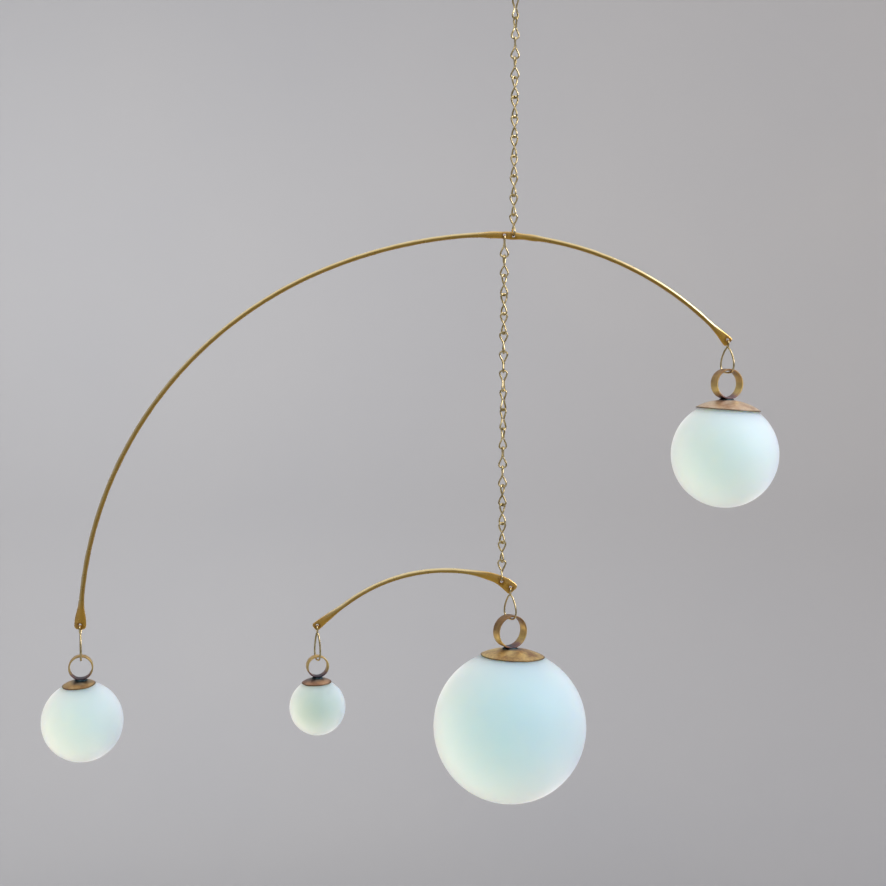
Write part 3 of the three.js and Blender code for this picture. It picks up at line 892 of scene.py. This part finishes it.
# Millimetres and degrees. A wire is as long as "length" and "lift" together: the lift is what it starts
# higher by than its solid, and the skew what its long loop is turned by from square to the band ring.
# A band ring has its outside, width and turn, and a cap its width, rise, lean and nod. "aside" moves
# the wire and the ring to the right, and "off ring" moves the cap and the ball against the ring.
balls = {
    "big_ball": {
        "radius": 51.25, "band": (22.2, 7.4, 29.0), "cap": (43.0, 4.8, 2.1, -2.5),
        "top loop": 4.6, "length": 20.3, "lift": LOWER_LIFT, "width": 12.4, "skew": 10.0,
        "aside": 0.0, "off ring": 0.0, "ring widened": 1.0},
    "right_ball": {
        "radius": 35.4, "band": (20.1, 7.4, 23.0), "cap": (42.4, 6.1, 3.5, -1.0),
        "top loop": 4.4, "length": 21.3, "lift": 0.0, "width": 12.8, "skew": 10.0,
        "aside": 1.1, "off ring": -0.7, "ring widened": 1.035},
    "left_ball": {
        "radius": 27.15, "band": (16.4, 6.0, 13.0), "cap": (21.8, 3.0, -3.5, 4.4),
        "top loop": 5.6, "length": 23.6, "lift": 0.0, "width": 9.6, "skew": 4.0,
        "aside": 0.0, "off ring": 0.0, "ring widened": 1.0},
    "small_ball": {
        "radius": 18.8, "band": (14.8, 5.4, 16.0), "cap": (19.6, 3.0, -2.0, 1.0),
        "top loop": 4.6, "length": 22.5, "lift": LOWER_LIFT, "width": 9.0, "skew": 16.0,
        "aside": 0.0, "off ring": 0.0, "ring widened": 1.0},
}

for name, ball in balls.items():
    form = {
        "upper length": ball["top loop"],
        "lower length": ball["length"] + ball["lift"] - ball["top loop"],
        "upper half": (HANGER_TOP_WIDTH - HANGER_WIRE) / 2,
        "lower half": (ball["width"] - HANGER_WIRE) / 2,
        "waist half": HANGER_WIRE * WAIST_SHARE,
        "pinch": HANGER_PINCH,
        "roundness": HANGER_ROUNDNESS,
        "upper angle": 90.0,
        "lower angle": 90.0 + ball["band"][2] + ball["skew"],
        "twist from": ball["top loop"] - TWIST_LENGTH * TWIST_ABOVE_WAIST,
        "twist to": ball["top loop"] + TWIST_LENGTH * (1 - TWIST_ABOVE_WAIST),
    }
    line = two_loop_line(form, HANGER_STEPS)
    low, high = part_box(name + "_hanging_wire")
    middle = (low + high) / 2 / MM
    line += np.array([middle.x + ball["aside"], 0.0, high.z / MM - HANGER_WIRE / 2 + ball["lift"]])
    piece = skin(name + "_wire_loop", cut_wire(line, HANGER_WIRE, HANGER_SIDES), False, wire_brass,
                 WIRE_CRISP)
    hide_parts(name + "_hanging_wire")
    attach(piece, "root")


# The band rings
# A flat strip of 1 mm brass rolled into a ring, which stands on its edge seam on a cap and hangs
# in its wire's long loop. The torch that soldered it on left it brown, and blue-black at its foot.

BAND_WALL = 1.0
BAND_EDGE = 0.22
BAND_SIDES = 144
CORNER_POINTS = 4
BAND_CRISP = 40
# Each ring is this much out of round, as a share of its radius
BAND_OVAL = 0.008
REST_GAP = 0.3


def rounded_section(wide, thick, edge):
    """Points round a flat strip's section, its corners rounded."""
    section = []
    for corner_x, corner_y, first in ((1, 1, 0), (-1, 1, 90), (-1, -1, 180), (1, -1, 270)):
        for step in range(CORNER_POINTS):
            angle = math.radians(first + step * 90 / (CORNER_POINTS - 1))
            section.append((corner_x * (wide / 2 - edge) + edge * math.cos(angle),
                            corner_y * (thick / 2 - edge) + edge * math.sin(angle)))
    return section


# Tarnished brass strip: dark blue-grey where the solder took, then violet and reddish brown from the
# torch, a duller gold further up and brown again at the top, all wandering by a few millimetres
HEAT_REACH = 20.0
HEAT_WANDER = 7.0
HEAT_BLOTCH_MM = 4.167

band_brass, tree, shader = new_material("torch-browned brass strip")
place = add_node(tree, "ShaderNodeTexCoord").outputs["Object"]
from_foot = add_node(tree, "ShaderNodeAttribute", {"attribute_name": "foot_mm"}).outputs["Fac"]
drift = add_node(tree, "ShaderNodeTexNoise", inputs={
    "Vector": place, "Scale": cells(HEAT_BLOTCH_MM), "Detail": 4.0})
swing = add_node(tree, "ShaderNodeMath", {"operation": "MULTIPLY_ADD"}, {
    0: drift.outputs["Fac"], 1: HEAT_WANDER, 2: -HEAT_WANDER / 2})
heated = add_node(tree, "ShaderNodeMath", {"operation": "ADD"}, {0: from_foot, 1: swing.outputs["Value"]})
share = add_node(tree, "ShaderNodeMapRange", inputs={
    "Value": heated.outputs["Value"], "From Min": 0.0, "From Max": HEAT_REACH})
ramp = add_node(tree, "ShaderNodeValToRGB", inputs={"Fac": share.outputs["Result"]})
set_stops(ramp, (0.0, "#2c3c48"), (0.17, "#57505a"), (0.34, "#94746a"), (0.55, "#e4c880"),
          (0.78, "#d8b676"), (1.0, "#9c7a54"))
tree.links.new(ramp.outputs["Color"], shader.inputs["Base Color"])
gloss = add_node(tree, "ShaderNodeMapRange", inputs={
    "Value": drift.outputs["Fac"], "To Min": 0.32, "To Max": 0.55})
tree.links.new(gloss.outputs["Result"], shader.inputs["Roughness"])
shader.inputs["Metallic"].default_value = 1.0

for name, ball in balls.items():
    outside, wide, turn = ball["band"]
    low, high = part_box(name + "_band_ring")
    middle = (low + high) / 2 / MM
    middle.x += ball["aside"]
    ball["foot"] = np.array([middle.x, 0.0, middle.z - outside / 2])
    turned = math.radians(turn)
    along = np.array([math.cos(turned), math.sin(turned), 0.0])
    across = np.array([-math.sin(turned), math.cos(turned), 0.0])
    section = rounded_section(wide, BAND_WALL, BAND_EDGE)
    rings = []
    for side in range(BAND_SIDES):
        angle = 2 * math.pi * side / BAND_SIDES
        outwards = along * math.sin(angle) - np.array([0, 0, 1.0]) * math.cos(angle)
        oval = 1 + BAND_OVAL * math.cos(2 * angle + turn)
        reach = outwards + along * math.sin(angle) * (ball["ring widened"] - 1)
        line = np.array(middle) + reach * (outside - BAND_WALL) / 2 * oval
        rings.append([line + across * a + outwards * b for a, b in section])
    piece = skin(name + "_rolled_ring", np.array(rings), True, band_brass, BAND_CRISP)
    stored(piece, "foot_mm", np.linalg.norm(points_mm(piece) - ball["foot"], axis=1))
    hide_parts(name + "_band_ring")
    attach(piece, "root")


# The caps
# A disc of sheet brass for each ball, dished over a stake and cemented on the glass. The soldering
# torch left bands of colour round the ring's foot, and the rim was filed; the rim's edge and its
# underside are coloured darker.

CAP_WALL = 0.7
CAP_SIDES = 120
CAP_ROWS = 26
CAP_CRISP = 50
# The crown's small flat face, in rows from the middle
CROWN_ROW = 0.6
RIM_STEPS = 6
# The rim's rounded edge, as a share of half the wall
RIM_BULGE = 0.8
# The rim waves in and out, so many times round, by so much, and dips by this share of it. The waves
# fade towards the middle, by this power of the distance from it
CAP_WAVES = (2, 3, 5, 7, 11)
CAP_WAVE_SIZES = (0.02, 0.09)
RIM_DIP = 0.35
WAVE_FADE = 3
CAP_SEED = 40
CAP_BROAD_MM = 11.11
CAP_FINE_MM = 1.923
HALO_WANDER = 9.0

cap_colours = {
    "big_ball": ("#ac8460", "#f2d694"),
    "right_ball": ("#cfa98a", "#efdcc0"),
    "left_ball": ("#b08c60", "#d2b482"),
    "small_ball": ("#a07662", "#cda888"),
}


def cap_brass(name, dark, light):
    """Dished brass with torch colours: a grey-green halo at the foot, then the cap's own two tones,
    mottled and matt, and a dark line along the rim."""
    material, tree, shader = new_material(name)
    place = add_node(tree, "ShaderNodeTexCoord").outputs["Object"]
    broad = add_node(tree, "ShaderNodeTexNoise", inputs={
        "Vector": place, "Scale": cells(CAP_BROAD_MM), "Detail": 3.0})
    fine = add_node(tree, "ShaderNodeTexNoise", inputs={
        "Vector": place, "Scale": cells(CAP_FINE_MM), "Detail": 4.0})
    both = add_node(tree, "ShaderNodeMath", {"operation": "MULTIPLY_ADD"}, {
        0: fine.outputs["Fac"], 1: 0.45, 2: broad.outputs["Fac"]})
    tones = add_node(tree, "ShaderNodeValToRGB", inputs={"Fac": both.outputs["Value"]})
    set_stops(tones, (0.55, dark), (0.88, light))
    from_foot = add_node(tree, "ShaderNodeAttribute", {"attribute_name": "foot_mm"}).outputs["Fac"]
    drift = add_node(tree, "ShaderNodeMath", {"operation": "MULTIPLY_ADD"}, {
        0: broad.outputs["Fac"], 1: HALO_WANDER, 2: -HALO_WANDER / 2})
    heated = add_node(tree, "ShaderNodeMath", {"operation": "ADD"}, {
        0: from_foot, 1: drift.outputs["Value"]})
    share = add_node(tree, "ShaderNodeMapRange", inputs={
        "Value": heated.outputs["Value"], "From Min": 3.0, "From Max": 8.5, "To Min": 0.85, "To Max": 0.0})
    halo = add_node(tree, "ShaderNodeMix", {"data_type": "RGBA"}, {
        "Factor": share.outputs["Result"], MIX_FIRST: tones.outputs["Color"],
        MIX_SECOND: colour("#6f7f80")})
    to_rim = add_node(tree, "ShaderNodeAttribute", {"attribute_name": "rim_mm"}).outputs["Fac"]
    edge = add_node(tree, "ShaderNodeMapRange", inputs={
        "Value": to_rim, "From Min": 0.1, "From Max": 0.7, "To Min": 0.75, "To Max": 0.0})
    rimmed = add_node(tree, "ShaderNodeMix", {"data_type": "RGBA"}, {
        "Factor": edge.outputs["Result"], MIX_FIRST: halo.outputs[MIX_RESULT],
        MIX_SECOND: colour("#5a4630")})
    tree.links.new(rimmed.outputs[MIX_RESULT], shader.inputs["Base Color"])
    gloss = add_node(tree, "ShaderNodeMapRange", inputs={
        "Value": fine.outputs["Fac"], "To Min": 0.3, "To Max": 0.58})
    tree.links.new(gloss.outputs["Result"], shader.inputs["Roughness"])
    relief = add_node(tree, "ShaderNodeBump", inputs={
        "Height": fine.outputs["Fac"], "Strength": 0.5, "Distance": 0.0001})
    tree.links.new(relief.outputs["Normal"], shader.inputs["Normal"])
    shader.inputs["Metallic"].default_value = 1.0
    return material


def turned_with_ball(points, ball):
    """Leans and nods points about the ball's middle, as the ball hangs."""
    lean = Matrix.Rotation(math.radians(ball["cap"][2]), 3, "Y")
    nod = Matrix.Rotation(math.radians(ball["cap"][3]), 3, "X")
    return np.asarray(points) @ np.array(lean @ nod).T + ball["middle"]


def cap_lift(clear, rise, dome, rim_angle):
    """How high a cap's rim stands over the ball's middle, with its rim and its crown clear."""
    inner = dome - CAP_WALL
    rim_out = inner * math.sin(rim_angle)
    at_rim = math.sqrt(max(0.0, clear ** 2 - rim_out ** 2)) - (rise - dome + inner * math.cos(rim_angle))
    return max(at_rim, clear - (rise - CAP_WALL))


def cap_profile(rise, dome, rim_angle):
    """The cap's section from its crown to its rim and back under it, as (out, up, part)."""
    inner = dome - CAP_WALL
    middle = dome - CAP_WALL / 2
    sine, cosine = math.sin(rim_angle), math.cos(rim_angle)
    angles = [rim_angle * (row + CROWN_ROW) / (CAP_ROWS - 1 + CROWN_ROW) for row in range(CAP_ROWS)]
    profile = [(dome * math.sin(angle), rise - dome + dome * math.cos(angle), "top") for angle in angles]
    for step in range(1, RIM_STEPS):
        bend = math.pi * step / RIM_STEPS
        past = CAP_WALL / 2 * RIM_BULGE * math.sin(bend)
        over = CAP_WALL / 2 * math.cos(bend)
        profile.append((middle * sine + past * cosine + over * sine,
                        rise - dome + middle * cosine - past * sine + over * cosine, "rim"))
    for angle in reversed(angles):
        profile.append((inner * math.sin(angle), rise - dome + inner * math.cos(angle), "under"))
    return profile


for number, (name, ball) in enumerate(balls.items()):
    wide, rise, _, nod = ball["cap"]
    dome = (wide ** 2 / 4 + rise ** 2) / (2 * rise)
    rim_angle = math.asin(wide / 2 / dome)
    lift = cap_lift(ball["radius"] + REST_GAP, rise, dome, rim_angle)
    crown = lift + rise
    ball["middle"] = np.array([ball["foot"][0] + ball["off ring"], crown * math.sin(math.radians(nod)),
                               ball["foot"][2] - REST_GAP - crown])

    chance = random.Random(CAP_SEED + number)
    waves = [(k, chance.uniform(0, ANY_START), chance.uniform(*CAP_WAVE_SIZES)) for k in CAP_WAVES]
    profile = cap_profile(rise, dome, rim_angle)
    rings = []
    for out, up, _ in profile:
        near_rim = (out / (wide / 2)) ** WAVE_FADE
        ring = []
        for side in range(CAP_SIDES):
            angle = 2 * math.pi * side / CAP_SIDES
            wave = near_rim * sum(size * math.cos(k * angle + start) for k, start, size in waves)
            ring.append(((out + wave) * math.cos(angle), (out + wave) * math.sin(angle),
                         up + lift - RIM_DIP * wave))
        rings.append(ring)
    rings = turned_with_ball(np.array(rings).reshape(-1, 3), ball).reshape(-1, CAP_SIDES, 3)
    metal = cap_brass(name.split("_")[0] + " cap of torch-coloured brass", *cap_colours[name])
    piece = skin(name + "_dished_cap", rings, False, metal, CAP_CRISP)
    stored(piece, "foot_mm", np.linalg.norm(points_mm(piece) - ball["foot"], axis=1))
    to_rim = [max(0.0, wide / 2 - out) if part == "top" else 0.0 for out, _, part in profile]
    stored(piece, "rim_mm", np.repeat(to_rim, CAP_SIDES))
    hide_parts(name + "_cap")
    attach(piece, "root")


# The solder
# Silver solder that ran under each band ring and pooled at its foot. It was never cleaned and has
# turned blue-black, with paler grey-blue flecks.

SOLDER_LONG = 5.6
SOLDER_HIGH = 1.5
SOLDER_PAST_STRIP = 0.7
SOLDER_RINGS = 18
SOLDER_SIDES = 48
# The pool's edge stands low, and its underside is this share as deep as its top is high
SOLDER_EDGE = 1.3
SOLDER_UNDER = 0.35
# It droops towards its edge, as a dome of this radius does
SOLDER_DOME = 48.0
SOLDER_WAVES = (1, 2, 3, 5)
SOLDER_WAVE_SIZES = (0.02, 0.07)
SOLDER_SEED = 70
SOLDER_SCALE_MM = 1.4286

solder, tree, shader = new_material("uncleaned silver solder")
place = add_node(tree, "ShaderNodeTexCoord").outputs["Object"]
scale = add_node(tree, "ShaderNodeTexNoise", inputs={
    "Vector": place, "Scale": cells(SOLDER_SCALE_MM), "Detail": 3.0})
ramp = add_node(tree, "ShaderNodeValToRGB", inputs={"Fac": scale.outputs["Fac"]})
set_stops(ramp, (0.4, "#2a3740"), (0.7, "#5d7f86"))
tree.links.new(ramp.outputs["Color"], shader.inputs["Base Color"])
relief = add_node(tree, "ShaderNodeBump", inputs={
    "Height": scale.outputs["Fac"], "Strength": 0.6, "Distance": 0.0001})
tree.links.new(relief.outputs["Normal"], shader.inputs["Normal"])
shader.inputs["Roughness"].default_value = 0.42
shader.inputs["Metallic"].default_value = 1.0

for number, (name, ball) in enumerate(balls.items()):
    outside, wide, turn = ball["band"]
    chance = random.Random(SOLDER_SEED + number)
    waves = [(k, chance.uniform(0, ANY_START), chance.uniform(*SOLDER_WAVE_SIZES)) for k in SOLDER_WAVES]
    turned = math.radians(turn)
    rings = []
    against_biggest = outside / balls["big_ball"]["band"][0]
    long, broad = SOLDER_LONG * against_biggest, wide / 2 + SOLDER_PAST_STRIP
    for row in range(1, 2 * SOLDER_RINGS):
        angle = math.pi * row / (2 * SOLDER_RINGS)
        level = math.cos(angle)
        up = SOLDER_HIGH * against_biggest * math.copysign(abs(level) ** SOLDER_EDGE, level)
        up = up if up > 0 else SOLDER_UNDER * up
        ring = []
        for side in range(SOLDER_SIDES):
            around = 2 * math.pi * side / SOLDER_SIDES
            wave = 1 + sum(size * math.cos(k * around + start) for k, start, size in waves)
            a = long * math.sin(angle) * math.cos(around) * wave
            b = broad * math.sin(angle) * math.sin(around) * wave
            ring.append((a * math.cos(turned) - b * math.sin(turned),
                         a * math.sin(turned) + b * math.cos(turned),
                         up - REST_GAP - (a * a + b * b) / (2 * SOLDER_DOME)))
        rings.append(ring)
    rings = np.array(rings) + ball["foot"]
    piece = skin(name + "_solder_foot", rings, False, solder)
    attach(piece, "root")


# The glass balls
# Mouth-blown opal glass, sandblasted or acid-etched outside to a silky matt. The milky glass
# scatters blue on the lit side and lets warm light through on the far one.

BALL_ROWS = 96
BALL_SIDES = 144
# The small flat face at each pole, in rows from it
POLE_ROW = 0.35
# The glass is blown a little uneven, in a few slow waves over the ball
BLOWN_WAVES = 5
BLOWN_RATE = 2.2
BLOWN_SIZE = 0.0009
BLOWN_SEED = 90
# Under the cap it sinks in where it was cracked off the pipe, both as shares of the radius
NECK_SHARE = 0.16
NECK_DEPTH = 0.03
# The milky clouds are faint. The etched grain is drawn coarser than it is, to show at all
MILK_CLOUD_MM = 38.46
MILK_CLOUD_TINT = 0.03
ETCHED_GRAIN_MM = 0.625

glass_colours = {"big_ball": "#a9cad3", "right_ball": "#b8d2d6", "left_ball": "#b5cdce",
                 "small_ball": "#9bb3b0"}


def opal_glass(name, hexa):
    """Etched opal glass: deep soft scattering, a broad sheen and a milkier edge, where one looks
    through more of the glass; the paler edge colour is partly a painted rim light. Nothing is reflected
    sharply."""
    material, tree, shader = new_material(name)
    place = add_node(tree, "ShaderNodeTexCoord").outputs["Object"]
    milk = add_node(tree, "ShaderNodeTexNoise", inputs={
        "Vector": place, "Scale": cells(MILK_CLOUD_MM), "Detail": 2.0})
    base = colour(hexa)[:3]
    thinner = (*[c * (1 - MILK_CLOUD_TINT) for c in base], 1.0)
    denser = (*[min(1.0, c * (1 + MILK_CLOUD_TINT)) for c in base], 1.0)
    cloudy = add_node(tree, "ShaderNodeMix", {"data_type": "RGBA"}, {
        "Factor": milk.outputs["Fac"], MIX_FIRST: thinner, MIX_SECOND: denser})
    # The base colour turns paler towards the outline: partly milkier glass, partly a painted rim light for
    # the brighter edge
    slanting = add_node(tree, "ShaderNodeLayerWeight", inputs={"Blend": 0.5}).outputs["Facing"]
    milky_edge_and_painted_rim_light = add_node(tree, "ShaderNodeMix", {"data_type": "RGBA"}, {
        "Factor": slanting, MIX_FIRST: cloudy.outputs[MIX_RESULT], MIX_SECOND: colour("#e6f6f3")})
    tree.links.new(milky_edge_and_painted_rim_light.outputs[MIX_RESULT], shader.inputs["Base Color"])
    etched = add_node(tree, "ShaderNodeTexNoise", inputs={
        "Vector": place, "Scale": cells(ETCHED_GRAIN_MM), "Detail": 2.0})
    relief = add_node(tree, "ShaderNodeBump", inputs={
        "Height": etched.outputs["Fac"], "Strength": 0.15, "Distance": 0.00004})
    tree.links.new(relief.outputs["Normal"], shader.inputs["Normal"])
    shader.inputs["Roughness"].default_value = 0.6
    shader.inputs["Subsurface Weight"].default_value = 1.0
    shader.inputs["Subsurface Radius"].default_value = (1.0, 0.82, 0.62)
    shader.inputs["Subsurface Scale"].default_value = 0.05
    shader.inputs["Sheen Weight"].default_value = 0.85
    shader.inputs["Sheen Roughness"].default_value = 0.5
    shader.inputs["Sheen Tint"].default_value = colour("#eef6ff")
    return material


for number, (name, ball) in enumerate(balls.items()):
    chance = random.Random(BLOWN_SEED + number)
    waves = [(chance.uniform(-1, 1), chance.uniform(-1, 1), chance.uniform(-1, 1),
              chance.uniform(0, ANY_START)) for _ in range(BLOWN_WAVES)]
    radius = ball["radius"]
    rings = []
    for row in range(BALL_ROWS + 1):
        angle = math.pi * (row + POLE_ROW) / (BALL_ROWS + 2 * POLE_ROW)
        from_neck = math.sin(angle) if angle < math.pi / 2 else NECK_SHARE
        sunk = NECK_DEPTH * radius * smooth_step(from_neck, NECK_SHARE, 0)
        ring = []
        for side in range(BALL_SIDES):
            around = 2 * math.pi * side / BALL_SIDES
            x, y, z = math.sin(angle) * math.cos(around), math.sin(angle) * math.sin(around), math.cos(angle)
            blown = sum(math.sin(BLOWN_RATE * (a * x + b * y + c * z) + start) for a, b, c, start in waves)
            far = radius * (1 + BLOWN_SIZE * blown) - sunk
            ring.append((far * x, far * y, far * z))
        rings.append(ring)
    rings = turned_with_ball(np.array(rings).reshape(-1, 3), ball).reshape(-1, BALL_SIDES, 3)
    glass = opal_glass(name.split("_")[0] + " etched opal glass", glass_colours[name])
    piece = skin(name + "_blown_glass", rings, False, glass)
    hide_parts(name)
    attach(piece, "root")
